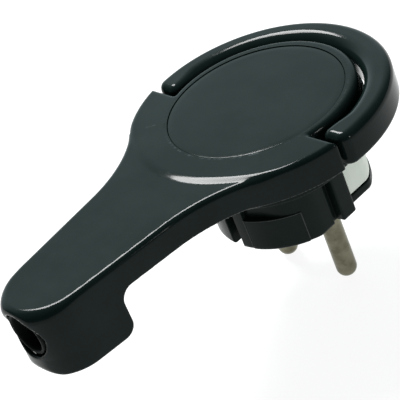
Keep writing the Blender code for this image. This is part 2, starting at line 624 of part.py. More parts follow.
def make_screws():
    head = (SCREW_R, SCREW_HEAD_R, SCREW_HEAD_H - 0.1 * MM)
    small = (SMALL_SCREW_R, SMALL_HEAD_R, 1.2 * MM)
    seat = UNDER_Z + SCREW_HEAD_H - GAP
    screw_row("housing_screw", HOUSING_SCREWS, seat, ROUND_ROOF_Z - GAP, *head)
    screw_row("floor_screw", [FLOOR_SCREW], seat, ROUND_ROOF_Z - GAP, *head)
    screw_row("cord_clamp_screw", CLAMP_SCREWS, CLAMP_Z - GAP, ROUND_ROOF_Z - 1.4 * MM, *small)
    screw_row("carrier_screw", polar(CARRIER_SCREW_R, CARRIER_SCREW_ANGLES), CARRIER_SEAT_Z + GAP, 7.0 * MM,
              *small, head_down=False)
    screw_row("face_screw", polar(CARRIER_SCREW_R, FACE_SCREW_ANGLES), FACE_SEAT_Z - GAP, 6.8 * MM,
              SMALL_SCREW_R, SMALL_HEAD_R, FACE_SEAT_Z - 0.4 * MM)


def main():
    clear_scene()
    make_materials()
    make_top_cover()
    make_cover_disc()
    make_pull_bail()
    make_hinge_pins()
    make_base_housing()
    make_contact_carrier()
    make_face_plate()
    make_contact_pins()
    make_terminals()
    make_earth_bridge()
    make_earth_terminal()
    make_arm_floor()
    make_entry_bush()
    make_cord_clamp()
    make_screws()


main()
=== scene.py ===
"""Looks of the flat right-angle earthed plug: smooth moulded shells, materials, light and camera.

Every moulded shell is meshed from a distance function in the frame's own millimetres, so each edge and
inside corner has its true rounding. Distances are negative inside a solid.
"""

import json
import math

import bpy
import numpy as np
from mathutils import Matrix, Vector


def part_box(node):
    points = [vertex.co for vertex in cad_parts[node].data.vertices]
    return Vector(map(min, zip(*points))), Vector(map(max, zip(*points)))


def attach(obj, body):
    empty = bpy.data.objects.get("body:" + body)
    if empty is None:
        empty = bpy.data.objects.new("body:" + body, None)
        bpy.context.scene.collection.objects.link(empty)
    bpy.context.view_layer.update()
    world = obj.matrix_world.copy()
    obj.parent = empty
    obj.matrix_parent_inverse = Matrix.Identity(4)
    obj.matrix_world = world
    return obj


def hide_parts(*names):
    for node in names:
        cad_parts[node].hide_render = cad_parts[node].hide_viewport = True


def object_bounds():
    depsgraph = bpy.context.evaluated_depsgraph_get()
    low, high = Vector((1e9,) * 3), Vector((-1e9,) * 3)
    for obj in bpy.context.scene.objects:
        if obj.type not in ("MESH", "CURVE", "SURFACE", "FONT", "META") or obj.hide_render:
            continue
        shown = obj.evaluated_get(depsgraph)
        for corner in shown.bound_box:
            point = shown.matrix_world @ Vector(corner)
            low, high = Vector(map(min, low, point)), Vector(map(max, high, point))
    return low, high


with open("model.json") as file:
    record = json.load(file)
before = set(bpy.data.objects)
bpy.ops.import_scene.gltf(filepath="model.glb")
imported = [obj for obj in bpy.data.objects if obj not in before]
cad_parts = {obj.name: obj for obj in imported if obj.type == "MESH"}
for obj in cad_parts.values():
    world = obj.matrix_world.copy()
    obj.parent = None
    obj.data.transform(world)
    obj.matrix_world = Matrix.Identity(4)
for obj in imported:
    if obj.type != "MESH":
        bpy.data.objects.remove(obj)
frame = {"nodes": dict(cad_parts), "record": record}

CAD_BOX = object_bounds()
MM = 0.001


def box_mm(node):
    low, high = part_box(node)
    return np.array(low) / MM, np.array(high) / MM


COVER_LOW, COVER_HIGH = box_mm("top_cover")
BAIL_LOW, BAIL_HIGH = box_mm("pull_bail")
HOUSING_HIGH = box_mm("base_housing")[1]
DISC_LOW, DISC_HIGH = box_mm("cover_disc")
FACE_HIGH = box_mm("face_plate")[1]
CARRIER_LOW, CARRIER_HIGH = box_mm("contact_carrier")
BUSH_LOW, BUSH_HIGH = box_mm("entry_bush")
PIN_LOW, PIN_HIGH = box_mm("contact_pin_right")
HINGE_LOW, HINGE_HIGH = box_mm("hinge_pin_right")

# Heights, in millimetres above the engagement face.
TOP_Z = COVER_HIGH[2]
ARM_TOP_Z = TOP_Z - 0.4
UNDER_Z = HOUSING_HIGH[2] - 2.4
ARM_UNDER_Z = UNDER_Z + 0.3
BLOCK_BOTTOM_Z = COVER_LOW[2]
ROOF_Z = ARM_TOP_Z - 1.8
COLLAR_Z = 12.0
RIM_TOP_Z = FACE_HIGH[2]

# Plan of the casing.
DISC_R = BAIL_HIGH[0]
CORE_R = COVER_HIGH[1]
SHOULDER_Y = -5.6
ARM_TAPER = 0.112
CAP_R = 9.8
CAP_Y = COVER_LOW[1] + CAP_R
FLARE_R = 34.0
SKIRT = 2.0
FLOOR_WALL = 1.6
GAP = 0.3
LEAN = 0.8
LEAN_DEPTH = 11.5
LEAN_START = 0.8
BLOCK_BACK_Y = -54.6
BLOCK_CORNER_R = 3.0
NOSE_R = 2.5
DISC_Y = (DISC_LOW[1] + DISC_HIGH[1]) / 2
SEAT_R = DISC_HIGH[0] + 0.18
SEAT_Z = DISC_LOW[2] - 0.3

# Roundings of the casing: its top edge, how much wider it gets at the fillet over the arm and at the arm's
# end, and its lower edge.
TOP_EDGE_R = 1.3
FILLET_R = 2.0
END_R = 1.3
LOW_EDGE_R = 0.4

# Hinge, bail and cord entry.
HINGE_Y = (HINGE_LOW[1] + HINGE_HIGH[1]) / 2
HINGE_Z = (HINGE_LOW[2] + HINGE_HIGH[2]) / 2
HINGE_HOLE_R = (HINGE_HIGH[2] - HINGE_LOW[2]) / 2 + 0.3
BAIL_IN_R = 23.1
BAIL_TOP_R = 1.9
BAIL_SLOPE_R = 3.2
LEDGE = 0.55
PIVOT_START_X = 19.0
LEDGE_TOP_Z = 22.6
LIP_RISE = 0.01
LIP_WIDTH = 0.55
BORE_Z = (BUSH_LOW[2] + BUSH_HIGH[2]) / 2
BORE_R = BUSH_HIGH[0] + 0.3

# Plug body.
BODY_R = 18.25
COLLAR_R = 18.9
CAVITY_R = 13.3
FLAT_X = 15.6
FRONT_FLAT_X = 16.5
HOUSING_RIB_X = 17.6
RIB_HALF_Y = 2.1
RIB_SLOT_Y = -2.95
RIB_SLOT_HALF = 0.85
RIB_SLOT_X = 15.2
RIB_SLOT_TOP_Z = 11.1
EARTH_SLOT_HALF = 1.5
WINDOW_START, WINDOW_END = 10.0, 78.0
WINDOW_MARGIN = 1.2
FILL_START_R = 11.0
PANEL_START, PANEL_END, POCKET_END = -76.0, -34.0, -38.0
POCKET_DEPTH = 1.3
PANEL_TOP_Z = 8.3
PANEL_PROUD = 0.2
SLOT_START = 1.0
PANEL_BEAD_R = 0.11
BEAD_LOW_Z = 1.2
BEAD_INSET = 0.4
HOUSING_SCREW_R = 23.9
HOUSING_SCREW_ANGLES = (-30.0, -64.0, -116.0, -150.0)
CARRIER_SCREW_R = 15.7
CARRIER_SCREW_ANGLES = (64.0, 116.0)
FACE_SCREW_ANGLE = 40.0
CARRIER_TOP_Z = 10.0
WEB_R = 15.0

# Screw holes.
SCREW_HOLE_R = 1.6
HEAD_HOLE_R = 2.8
HEAD_SINK = 1.4
SMALL_HOLE_R = 1.4
SMALL_HEAD_HOLE_R = 2.2
CARRIER_SEAT_Z = 16.0
FACE_SEAT_Z = 1.3
CARRIER_HOLE_ENDS = (6.4, 7.4, 4.4)  # where the carrier's holes end: from above, from below, in the middle

# Contacts and cord bush.
PIN_R = 2.4
PIN_X = (PIN_LOW[0] + PIN_HIGH[0]) / 2
PIN_ROOT_Z = 3.2
SHANK_R = 2.0
HEAD_HALF = 3.1
HEAD_Z = CARRIER_TOP_Z + GAP
WIRE_HOLE = (2.2, 1.6)  # height above the head's foot, and radius
BUSH_IN_R = 4.3


# ---------------------------------------------------------------- distance tools

def both(first, second, radius=0.0):
    """What two shapes share; the edge where they meet is rounded by radius."""
    u = np.maximum(first + radius, 0.0)
    v = np.maximum(second + radius, 0.0)
    return np.minimum(np.maximum(first, second), -radius) + np.hypot(u, v)


def either(first, second, radius=0.0):
    """Two shapes joined; the inside corner where they meet is filled by radius."""
    return -both(-first, -second, radius)


def without(shape, hole, radius=0.0):
    return both(shape, -hole, radius)


def slab(value, low, high):
    return np.maximum(low - value, value - high)


def cylinder(a, b, centre_a, centre_b, radius):
    return np.hypot(a - centre_a, b - centre_b) - radius


# ---------------------------------------------------------------- meshing

PULL = 0.03          # how strongly a grid point stays near the mean of its crossings
SPLIT_TURN = 28.0    # degrees between face and surface above which a corner is a sharp edge


def slope(shape, points, reach=0.02):
    """The direction in which the distance grows at each point."""
    rows = []
    for axis in range(3):
        step = np.zeros(3)
        step[axis] = reach
        rows.append(shape(*(points + step).T) - shape(*(points - step).T))
    found = np.stack(rows, axis=1) / (2 * reach)
    return found / np.maximum(np.linalg.norm(found, axis=1, keepdims=True), 1e-9)


def crossings(shape, low, high, cell):
    """Where the surface crosses the edges of a grid: the points, and the four cells round each edge."""
    axes = [np.arange(a - 1.5 * cell, b + 2.5 * cell, cell) for a, b in zip(low, high)]
    field = shape(*np.meshgrid(*axes, indexing="ij"))
    origin = np.array([axis[0] for axis in axes])
    counts = [n - 1 for n in field.shape]
    spots, rings = [], []
    for axis in range(3):
        first, second = [slice(None)] * 3, [slice(None)] * 3
        first[axis], second[axis] = slice(0, -1), slice(1, None)
        start, end = field[tuple(first)], field[tuple(second)]
        crossed = (start < 0) != (end < 0)
        at = np.argwhere(crossed)
        start, end = start[crossed], end[crossed]
        spot = at.astype(float)
        spot[:, axis] += start / (start - end)
        spots.append(origin + spot * cell)
        ring = []
        for b, c in ((-1, -1), (0, -1), (0, 0), (-1, 0)):
            beside = at.copy()
            beside[:, (axis + 1) % 3] += b
            beside[:, (axis + 2) % 3] += c
            ring.append(np.ravel_multi_index(beside.T, counts))
        ring = np.stack(ring, axis=1)
        rings.append(np.where((start < 0)[:, None], ring, ring[:, ::-1]))
    return np.concatenate(spots), np.concatenate(rings), origin, counts


def place_points(shape, spots, faces, centres, cell):
    """One point in each cell, where the tangent planes of its crossings meet."""
    ways = slope(shape, spots)
    plane = np.einsum("ij,ij->i", ways, spots)
    count = len(centres)
    tally = np.zeros(count)
    mean, rhs, square = np.zeros((count, 3)), np.zeros((count, 3)), np.zeros((count, 3, 3))
    for corner in range(4):
        cells = faces[:, corner]
        tally += np.bincount(cells, minlength=count)
        for i in range(3):
            mean[:, i] += np.bincount(cells, spots[:, i], count)
            rhs[:, i] += np.bincount(cells, ways[:, i] * plane, count)
            for j in range(3):
                square[:, i, j] += np.bincount(cells, ways[:, i] * ways[:, j], count)
    mean /= tally[:, None]
    pull = PULL * tally[:, None, None] * np.eye(3)
    step = np.linalg.solve(square + pull, (rhs - np.einsum("nij,nj->ni", square, mean))[..., None])[..., 0]
    points = np.clip(mean + step, centres - 0.5 * cell, centres + 0.5 * cell)
    for _ in range(3):
        reach = np.clip(shape(*points.T), -0.2 * cell, 0.2 * cell)
        points = points - slope(shape, points) * reach[:, None]
    return points


def corner_normals(shape, points, faces):
    """A normal for each corner of each face: smooth over roundings, split along sharp edges."""
    smooth = slope(shape, points, 0.05)[faces]
    corners = points[faces]
    across = np.cross(corners[:, 2] - corners[:, 0], corners[:, 3] - corners[:, 1])
    across /= np.maximum(np.linalg.norm(across, axis=1, keepdims=True), 1e-12)
    apart = np.einsum("nij,nj->ni", smooth, across) < math.cos(math.radians(SPLIT_TURN))
    inward = corners + 0.35 * (corners.mean(axis=1, keepdims=True) - corners)
    smooth[apart] = slope(shape, inward[apart])
    return smooth.reshape(-1, 3)


def mould(name, shape, low, high, cell):
    """A closed mesh of a distance function, given in millimetres, with its edges kept."""
    spots, rings, origin, counts = crossings(shape, low, high, cell)
    cells, faces = np.unique(rings, return_inverse=True)
    faces = faces.reshape(-1, 4)
    centres = origin + (np.stack(np.unravel_index(cells, counts), axis=1) + 0.5) * cell
    points = place_points(shape, spots, faces, centres, cell)
    mesh = bpy.data.meshes.new(name)
    mesh.from_pydata((points * MM).tolist(), [], faces.tolist())
    mesh.shade_smooth()
    mesh.normals_split_custom_set(corner_normals(shape, points, faces).tolist())
    made = bpy.data.objects.new(name, mesh)
    bpy.context.scene.collection.objects.link(made)
    return made


def turned(name, profile, centre_y, steps=180):
    """A closed solid turned round an upright axis from a closed loop of (radius, z) points."""
    turns = np.arange(steps) * math.tau / steps
    rings = [np.stack([r * np.cos(turns), centre_y + r * np.sin(turns), np.full(steps, z)], 1)
             for r, z in profile]
    count = len(profile)
    faces = [[k * steps + n, k * steps + (n + 1) % steps,
              (k + 1) % count * steps + (n + 1) % steps, (k + 1) % count * steps + n]
             for k in range(count) for n in range(steps)]
    mesh = bpy.data.meshes.new(name)
    mesh.from_pydata((np.concatenate(rings) * MM).tolist(), [], faces)
    mesh.shade_smooth()
    mesh.set_sharp_from_angle(angle=math.radians(40.0))
    made = bpy.data.objects.new(name, mesh)
    bpy.context.scene.collection.objects.link(made)
    return made


def corner_arc(radius, z, rounding, steps=4):
    """A rounded upper outer corner, from its side to its top, as (radius, z) points."""
    turns = [math.pi / 2 * step / steps for step in range(steps + 1)]
    return [(radius - rounding * (1.0 - math.cos(t)), z - rounding * (1.0 - math.sin(t))) for t in turns]


# ---------------------------------------------------------------- casing

def flare_centre():
    """Centre of the concave flare, and the arm's side and its direction, for x > 0."""
    length = math.hypot(1.0, ARM_TAPER)
    normal = np.array([1.0, -ARM_TAPER]) / length
    along = np.array([ARM_TAPER, 1.0]) / length
    start = np.array([0.0, CAP_Y]) + (CAP_R + FLARE_R) * normal
    half = start @ along
    travel = -half - math.sqrt(half * half + ((DISC_R + FLARE_R) ** 2 - start @ start))
    return start + travel * along, normal, along


FLARE_CENTRE, ARM_NORMAL, ARM_ALONG = flare_centre()


def arm_plan(x, y):
    """Tapered arm with its round end and the concave flares that run into the round part."""
    across = np.abs(x)
    side = across * ARM_NORMAL[0] + (y - CAP_Y) * ARM_NORMAL[1] - CAP_R
    ahead = across * ARM_ALONG[0] + (y - CAP_Y) * ARM_ALONG[1]
    arm = np.where(ahead > 0.0, side, np.hypot(x, y - CAP_Y) - CAP_R)
    arm = np.maximum(arm, y + 10.0)
    u, v = across - FLARE_CENTRE[0], y - FLARE_CENTRE[1]
    to_disc = -FLARE_CENTRE / np.linalg.norm(FLARE_CENTRE)
    inside = (to_disc[0] * v > to_disc[1] * u) & (ARM_NORMAL[0] * v > ARM_NORMAL[1] * u)
    return np.where(inside, np.minimum(arm, FLARE_R - np.hypot(u, v)), arm)


def round_plan(x, y):
    """The round part: its core, and the wider half below the shoulders."""
    radius = np.hypot(x, y)
    wide = both(radius - DISC_R, y - SHOULDER_Y, 0.5)
    return either(radius - CORE_R, wide, 0.4)


def nose(y, z):
    return both(BLOCK_BOTTOM_Z - z, COVER_LOW[1] + LEAN - y, NOSE_R)


def arm_side(y, z):
    """Side view of the arm and the cord block: what lies above their undersides."""
    block = both(y - BLOCK_BACK_Y, BLOCK_BOTTOM_Z - z, BLOCK_CORNER_R)
    return both(either(ARM_UNDER_Z - z, block, BLOCK_CORNER_R), nose(y, z))


def leaned(y, z):
    """The block's end leans in below the arm's top."""
    return y - LEAN * np.clip((ARM_TOP_Z - LEAN_START - z) / LEAN_DEPTH, 0.0, 1.0)


def bump_up(value, start, full):
    """Rises smoothly from 0 at start to 1 at full."""
    part = np.clip((value - start) / (full - start), 0.0, 1.0)
    return part * part * (3.0 - 2.0 * part)


def casing_outside(x, y, z):
    front = bump_up(-y, 17.0, 26.0)
    wide = both(round_plan(x, y), z - TOP_Z + LIP_RISE, TOP_EDGE_R + FILLET_R * front)
    wide = both(wide, UNDER_Z - z, LOW_EDGE_R)
    end = bump_up(-y, 62.0, 72.0)
    slim = both(arm_plan(x, leaned(y, z)), z - ARM_TOP_Z, TOP_EDGE_R + END_R * end)
    slim = both(slim, arm_side(y, z), 0.6)
    return either(wide, slim, 0.5)


def casing_inside(x, y, z):
    plan = np.minimum(round_plan(x, y), arm_plan(x, y)) + SKIRT
    return both(plan, z - ROOF_Z, 0.5)


def cord_bore(x, y, z):
    return np.maximum(cylinder(x, z, 0.0, BORE_Z, BORE_R), y - CAP_Y)


def top_cover(x, y, z):
    """Hollow casing with the cord hole, disc seat, pivot holes and a low ledge in the bail's gap."""
    shell = without(casing_outside(x, y, z), casing_inside(x, y, z), 0.25)
    shell = without(shell, cord_bore(x, y, z), 0.5)
    seat = np.maximum(np.hypot(x, y - DISC_Y) - SEAT_R - 0.25, SEAT_Z - z)
    shell = without(shell, seat)
    radius = np.hypot(x, y)
    ring = np.maximum(radius - CORE_R - LEDGE, CORE_R - 1.0 - radius)
    ledge = both(ring, slab(z, UNDER_Z, LEDGE_TOP_Z), 0.1)
    behind = np.abs(y - CORE_R / 2 + 0.5) - CORE_R / 2 - 0.4
    shell = np.minimum(shell, np.maximum(ledge, behind))
    pivot = np.maximum(cylinder(y, z, HINGE_Y, HINGE_Z, HINGE_HOLE_R), PIVOT_START_X - np.abs(x))
    return without(shell, pivot, 0.1)


def arm_floor(x, y, z):
    inside = both(y - BLOCK_BACK_Y + FLOOR_WALL, BLOCK_BOTTOM_Z + FLOOR_WALL - z, BLOCK_CORNER_R - FLOOR_WALL)
    inside = either(ARM_UNDER_Z + FLOOR_WALL - z, inside, 2.0)
    inside = both(inside, COVER_LOW[1] + LEAN + FLOOR_WALL - y, NOSE_R - FLOOR_WALL)
    plate = without(arm_side(y, z), inside)
    plan = np.maximum(arm_plan(x, y) + SKIRT + GAP, DISC_R - SKIRT - np.hypot(x, y))
    return both(plate, plan, 0.2)


def pull_bail(x, y, z):
    """The crescent; away from its two ends the inner edge slopes down into the gap."""
    radius = np.hypot(x, y)
    plan = both(np.maximum(radius - DISC_R, BAIL_IN_R - radius), BAIL_LOW[1] - y, 2.2)
    body = both(both(plan, z - BAIL_HIGH[2], BAIL_TOP_R), BAIL_LOW[2] - z, 0.8)
    away = bump_up(y, BAIL_LOW[1] + 3.0, BAIL_LOW[1] + 9.0)
    inner = BAIL_TOP_R + away * (BAIL_SLOPE_R - BAIL_TOP_R)
    body = np.maximum(body, both(BAIL_IN_R - radius, z - BAIL_HIGH[2], inner))
    hole = np.maximum(cylinder(y, z, HINGE_Y, HINGE_Z, HINGE_HOLE_R), np.abs(x) - HINGE_HIGH[0] - GAP)
    return without(body, hole, 0.15)


# ---------------------------------------------------------------- plug body

def wedge(x, y, start, end):
    """The plan between two directions from the middle, in degrees."""
    a, b = math.radians(start), math.radians(end)
    return np.maximum(x * math.sin(a) - y * math.cos(a), y * math.cos(b) - x * math.sin(b))


def windows(x, y, margin=0.0):
    """Plan of the two windows on the +Y side."""
    return wedge(np.abs(x), y, WINDOW_START + margin, WINDOW_END - margin)


def section(x, y, radius, half_x):
    """Round plan with flats: half_x from the middle, and FRONT_FLAT_X on the arm's side."""
    flat = np.abs(x) - np.where(y > 0.0, half_x, half_x + FRONT_FLAT_X - FLAT_X)
    return both(np.hypot(x, y) - radius, flat, 0.6)


def from_place(x, y, radius, angle):
    """Plan distance from the place at a radius and an angle in degrees."""
    turn = math.radians(angle)
    return np.hypot(x - radius * math.cos(turn), y - radius * math.sin(turn))


def base_housing(x, y, z):
    radius = np.hypot(x, y)
    plate = both(round_plan(x, y) + SKIRT + GAP, slab(z, UNDER_Z, HOUSING_HIGH[2]), 0.3)
    collar = both(radius - COLLAR_R, slab(z, COLLAR_Z, UNDER_Z + 1.0), 0.4)
    body = both(section(x, y, BODY_R, FLAT_X), slab(z, 0.0, COLLAR_Z + 1.5), 0.9)
    rib = both(np.abs(y) - RIB_HALF_Y, np.abs(x) - HOUSING_RIB_X, 0.5)
    rib = both(rib, slab(z, 0.0, COLLAR_Z + 0.5), 0.5)
    rib = np.maximum(rib, 14.0 - np.abs(x))
    panel = both(radius - BODY_R - PANEL_PROUD, wedge(x, y, PANEL_START, PANEL_END), 0.25)
    panel = both(both(panel, z - PANEL_TOP_Z, 0.25), -z, 0.9)
    shape = either(plate, either(collar, body, 0.3), 0.3)
    shape = np.minimum(either(shape, rib, 0.2), panel)
    depth = POCKET_DEPTH * (1.0 - bump_up(np.degrees(np.arctan2(y, x)), PANEL_START + 8.0, POCKET_END))
    pocket = np.maximum(BODY_R - depth - radius, wedge(x, y, PANEL_START, POCKET_END))
    shape = without(shape, np.maximum(pocket, slab(z, PANEL_TOP_Z, COLLAR_Z)))
    shape = without(shape, radius - CAVITY_R, 0.2)
    slot = both(np.abs(y - RIB_SLOT_Y) - RIB_SLOT_HALF, RIB_SLOT_X - np.abs(x), 0.2)
    shape = without(shape, both(slot, z - RIB_SLOT_TOP_Z, 0.2), 0.12)
    earth = both(np.abs(x) - EARTH_SLOT_HALF, CAVITY_R - SLOT_START - np.abs(y), 0.2)
    shape = without(shape, both(earth, z - COLLAR_Z, 0.2), 0.2)
    window = both(windows(x, y), CAVITY_R - SLOT_START - radius, 0.2)
    shape = without(shape, both(window, z - COLLAR_Z), 0.12)
    for angle in HOUSING_SCREW_ANGLES:
        away = from_place(x, y, HOUSING_SCREW_R, angle)
        head = np.maximum(away - HEAD_HOLE_R, z - UNDER_Z - HEAD_SINK)
        shape = without(shape, np.minimum(away - SCREW_HOLE_R, head), 0.1)
    for angle in CARRIER_SCREW_ANGLES:
        away = from_place(x, y, CARRIER_SCREW_R, angle)
        head = np.maximum(away - SMALL_HEAD_HOLE_R, CARRIER_SEAT_Z - z)
        shape = without(shape, np.minimum(away - SMALL_HOLE_R, head))
    return shape


def pin_spots(x, y):
    return np.hypot(np.abs(x) - PIN_X, y)


def screw_spots(x, y, angle):
    """Distance from the two mirrored places at CARRIER_SCREW_R and angle."""
    turn = math.radians(angle)
    return np.hypot(np.abs(x) - CARRIER_SCREW_R * math.cos(turn), y - CARRIER_SCREW_R * math.sin(turn))


def face_plate(x, y, z):
    radius = np.hypot(x, y)
    fill = both(section(x, y, BODY_R, FLAT_X), windows(x, y, WINDOW_MARGIN), 0.1)
    fill = np.maximum(fill, FILL_START_R - radius)
    shape = both(np.minimum(radius - CAVITY_R + GAP, fill), -z, 0.9)
    shape = both(shape, z - RIM_TOP_Z, 0.15)
    screws = screw_spots(x, y, FACE_SCREW_ANGLE)
    hole = np.minimum(screws - SMALL_HOLE_R, np.maximum(screws - SMALL_HEAD_HOLE_R, z - FACE_SEAT_Z))
    return without(without(shape, pin_spots(x, y) - PIN_R - GAP, 0.15), hole, 0.1)


def contact_carrier(x, y, z):
    radius = np.hypot(x, y)
    core = both(radius - CAVITY_R + GAP, z - CARRIER_TOP_Z, 0.2)
    fill = both(section(x, y, BODY_R - 0.2, FLAT_X - 0.2), windows(x, y, WINDOW_MARGIN), 0.1)
    fill = both(np.maximum(fill, CAVITY_R + 0.4 - radius), z - CARRIER_HIGH[2], 0.2)
    web = np.maximum(np.maximum(windows(x, y, WINDOW_MARGIN), radius - WEB_R), z - CARRIER_TOP_Z)
    web = np.maximum(web, FILL_START_R - radius)
    shape = both(np.minimum(np.minimum(core, fill), web), CARRIER_LOW[2] - z, 0.1)
    pins = pin_spots(x, y)
    root = np.maximum(pins - PIN_R - GAP, z - PIN_ROOT_Z - GAP)
    shape = without(shape, np.minimum(pins - SHANK_R - GAP, root))
    from_top, from_below, middle = CARRIER_HOLE_ENDS
    upper = screw_spots(x, y, CARRIER_SCREW_ANGLES[0]) - SMALL_HOLE_R
    lower = screw_spots(x, y, FACE_SCREW_ANGLE) - SMALL_HOLE_R
    shape = without(shape, np.maximum(upper, from_top - z))
    shape = without(shape, np.maximum(lower, z - from_below))
    return without(shape, np.maximum(radius - SCREW_HOLE_R, middle - z))


def contact_pin(x, y, z):
    """A pin on its own axis: round tip, shank and drilled square head."""
    radius = np.hypot(x, y)
    shaft = both(radius - PIN_R, PIN_LOW[2] - z, PIN_R - 0.05)
    shaft = both(shaft, z - PIN_ROOT_Z, 0.2)
    shank = np.maximum(radius - SHANK_R, slab(z, PIN_LOW[2] + 6.0, HEAD_Z + 0.5))
    head = both(np.abs(x) - HEAD_HALF, np.abs(y) - HEAD_HALF, 0.3)
    head = both(head, slab(z, HEAD_Z, PIN_HIGH[2]), 0.3)
    rise, wire_r = WIRE_HOLE
    wire = np.maximum(np.hypot(x, z - HEAD_Z - rise) - wire_r, HEAD_Z - z)
    shape = without(np.minimum(np.minimum(shaft, shank), head), wire, 0.1)
    return without(shape, np.maximum(radius - SCREW_HOLE_R, HEAD_Z + rise - z), 0.1)


def entry_bush(x, y, z):
    radius = np.hypot(x, z - BORE_Z)
    tube = both(radius - BUSH_HIGH[0], slab(y, BUSH_LOW[1], BUSH_HIGH[1]), 0.25)
    return without(tube, radius - BUSH_IN_R, 0.4)


# ---------------------------------------------------------------- materials

def shader_nodes(name):
    made = bpy.data.materials.new(name)
    made.use_nodes = True
    tree = made.node_tree
    return made, tree, tree.nodes["Principled BSDF"]


def noise(tree, scale, detail, roughness=0.5):
    where = tree.nodes.get("Texture Coordinate") or tree.nodes.new("ShaderNodeTexCoord")
    made = tree.nodes.new("ShaderNodeTexNoise")
    made.inputs["Scale"].default_value = scale
    made.inputs["Detail"].default_value = detail
    made.inputs["Roughness"].default_value = roughness
    tree.links.new(where.outputs["Object"], made.inputs["Vector"])
    return made.outputs["Fac"]


def spread(tree, value, low, high):
    """Maps a noise value to the range from low to high."""
    made = tree.nodes.new("ShaderNodeMapRange")
    made.inputs["From Min"].default_value = 0.3
    made.inputs["From Max"].default_value = 0.7
    made.inputs["To Min"].default_value = low
    made.inputs["To Max"].default_value = high
    tree.links.new(value, made.inputs["Value"])
    return made.outputs["Result"]


def ramp(tree, value, first, second):
    made = tree.nodes.new("ShaderNodeValToRGB")
    made.color_ramp.elements[0].color = (*first, 1.0)
    made.color_ramp.elements[1].color = (*second, 1.0)
    made.color_ramp.elements[0].position = 0.35
    made.color_ramp.elements[1].position = 0.65
    tree.links.new(value, made.inputs["Fac"])
    return made.outputs["Color"]


def bump(tree, shader, value, strength, distance):
    made = tree.nodes.new("ShaderNodeBump")
    made.inputs["Strength"].default_value = strength
    made.inputs["Distance"].default_value = distance
    tree.links.new(value, made.inputs["Height"])
    tree.links.new(made.outputs["Normal"], shader.inputs["Normal"])


def plastic(name, dark, light, gloss, rough, pebble=0.06, shine=0.12):
    made, tree, shader = shader_nodes(name)
    colour = ramp(tree, noise(tree, 90.0, 4.0), dark, light)
    tree.links.new(colour, shader.inputs["Base Color"])
    tree.links.new(spread(tree, noise(tree, 260.0, 5.0, 0.6), gloss, rough), shader.inputs["Roughness"])
    bump(tree, shader, noise(tree, 1400.0, 2.0), pebble, 0.00002)
    shader.inputs["IOR"].default_value = 1.4
    shader.inputs["Specular IOR Level"].default_value = shine
    return made


def metal(name, dark, light, gloss, rough, brushed):
    made, tree, shader = shader_nodes(name)
    shader.inputs["Metallic"].default_value = 1.0
    colour = ramp(tree, noise(tree, 350.0, 6.0, 0.65), dark, light)
    tree.links.new(colour, shader.inputs["Base Color"])
    tree.links.new(spread(tree, noise(tree, 700.0, 4.0), gloss, rough), shader.inputs["Roughness"])
    bump(tree, shader, noise(tree, 2600.0, 3.0), brushed, 0.00002)
    return made


CASING = plastic("gloss_black_casing", (0.004, 0.009, 0.008), (0.006, 0.012, 0.011), 0.08, 0.13)
BODY = plastic("satin_black_body", (0.005, 0.011, 0.009), (0.008, 0.014, 0.012), 0.20, 0.28, 0.10, 0.08)
# The panel bead's finish is lighter than the body: a painted highlight along the panel's edges.
BEAD = plastic("panel_edge_painted_highlight", (0.030, 0.036, 0.035), (0.045, 0.052, 0.050), 0.35, 0.45, 0.1)
CARRIER = plastic("light_grey_carrier", (0.64, 0.70, 0.63), (0.72, 0.78, 0.70), 0.42, 0.52, 0.12)
RUBBER = plastic("black_rubber", (0.006, 0.007, 0.007), (0.010, 0.011, 0.011), 0.55, 0.7, 0.3)
NICKEL = metal("dull_nickel", (0.11, 0.105, 0.070), (0.18, 0.175, 0.125), 0.26, 0.38, 0.10)
STEEL = metal("zinc_plated_steel", (0.46, 0.47, 0.47), (0.62, 0.63, 0.64), 0.24, 0.38, 0.10)
BY_SLOT = {"casing": CASING, "body": BODY, "carrier": CARRIER, "rubber": RUBBER, "nickel": NICKEL,
           "steel": STEEL}
SLOT_OF = {part["node"]: part["material_slot"] for part in frame["record"]["subparts"]}


def dress_frame():
    """Gives every CAD node the finish of its slot."""
    for node, thing in frame["nodes"].items():
        for place in thing.material_slots:
            place.material = BY_SLOT[SLOT_OF[node]]


def stand_for(node, made, body="plug"):
    """Makes a piece stand for a CAD node, with the finish of its slot."""
    made.data.materials.append(BY_SLOT[SLOT_OF[node]])
    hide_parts(node)
    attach(made, body)


def panel_line():
    """Points along the moulded panel's outline: up one side, across its top and down the other."""
    radius, low, top = BODY_R + 0.17, BEAD_LOW_Z, PANEL_TOP_Z - 0.05
    start, end = PANEL_START + BEAD_INSET, PANEL_END - BEAD_INSET
    line = [(start, low + step * (top - low) / 12) for step in range(12)]
    line += [(start + step * (end - start) / 24, top) for step in range(25)]
    line += [(end, top - step * (top - low) / 12) for step in range(1, 13)]
    return [(radius * math.cos(math.radians(a)), radius * math.sin(math.radians(a)), z) for a, z in line]


def panel_bead():
    """The fine raised line round the panel, coloured lighter than the body: a painted highlight along the
    panel's edges.
    """
    path = bpy.data.curves.new("panel_bead", "CURVE")
    path.dimensions = "3D"
    path.bevel_depth = PANEL_BEAD_R * MM
    path.bevel_resolution = 3
    path.use_fill_caps = True
    line = path.splines.new("POLY")
    points = panel_line()
    line.points.add(len(points) - 1)
    for point, place in zip(line.points, points):
        point.co = (*(np.array(place) * MM), 1.0)
    made = bpy.data.objects.new("panel_bead", path)
    bpy.context.scene.collection.objects.link(made)
    path.materials.append(BEAD)
    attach(made, "plug")


def pin_on(side):
    """The contact pin's shape, moved to its side."""
    return lambda x, y, z: contact_pin(x - side * PIN_X, y, z)


def disc_profile():
    """The cover disc's section, with a small rounded edge; it stops a hair short of the axis."""
    radius, top, low, hair = SEAT_R - 0.09, DISC_HIGH[2], DISC_LOW[2], 0.02
    inner = [(step * radius / 12, top) for step in range(11, 0, -1)]
    return [(hair, low), (radius, low)] + corner_arc(radius, top, 0.2) + inner + [(hair, top)]


